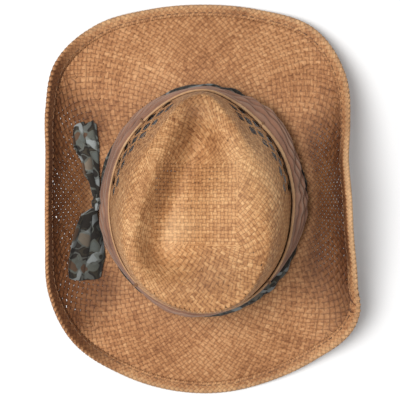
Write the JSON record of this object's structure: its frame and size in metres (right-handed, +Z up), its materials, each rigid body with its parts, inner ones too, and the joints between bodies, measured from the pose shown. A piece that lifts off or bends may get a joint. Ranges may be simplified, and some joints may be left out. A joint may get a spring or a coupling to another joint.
{
  "type": "western hat",
  "caption": "Woven straw western hat with rolled side brims, a teardrop crown with openwork vents and a printed scarf tied round it as a hatband.",
  "frame": {"origin": "centre of the hat's outline, on the surface that it stands on, which the brim's front and rear edges meet", "axes": "+Z up through the crown, +Y towards the hat's front, +X towards the wearer's right"},
  "size_m": [0.2893, 0.37, 0.1383],
  "materials": {
    "straw": "woven raffia straw, matte",
    "hem_straw": "turned raffia hem, matte",
    "steel": "drawn wire",
    "thread": "sewing thread",
    "cotton": "dark cotton grosgrain",
    "label": "woven tape, blank",
    "camouflage": "printed cotton, matte",
    "mauve": "washed cotton, matte",
    "tan": "cotton piping, matte"
  },
  "bodies": {
    "hat": {"crown": "straw", "brim": "straw", "brim_hem": "hem_straw", "brim_wire": "steel", "wire_sleeve": "steel", "hem_stitch_top": "thread", "hem_stitch_under": "thread", "sweatband": "cotton", "sweatband_stitch": "thread", "camo_band": "camouflage", "wrap_band": "mauve", "band_piping": "tan", "band_tack_1": "thread", "band_tack_2": "thread", "band_tack_3": "thread", "band_tack_4": "thread", "scarf_knot": "camouflage"},
    "front_tail": {"scarf_tail_front": "camouflage"},
    "rear_tail": {"scarf_tail_rear": "camouflage"},
    "label": {"size_label": "label"}
  },
  "joints": [
    {"name": "front_tail_lift", "type": "hinge", "parent": "hat", "child": "front_tail", "pos_m": [-0.09921, 0.00479, 0.03924], "axis": [0.9894, 0.1455, 0], "range_deg": [0, 70]},
    {"name": "rear_tail_lift", "type": "hinge", "parent": "hat", "child": "rear_tail", "pos_m": [-0.09921, -0.01121, 0.03924], "axis": [-0.989, 0.1476, 0], "range_deg": [0, 70]},
    {"name": "size_label_flap", "type": "hinge", "parent": "hat", "child": "label", "pos_m": [-0.00005, -0.09758, 0.05036], "axis": [1, 0, 0], "range_deg": [0, 105]}
  ]
}
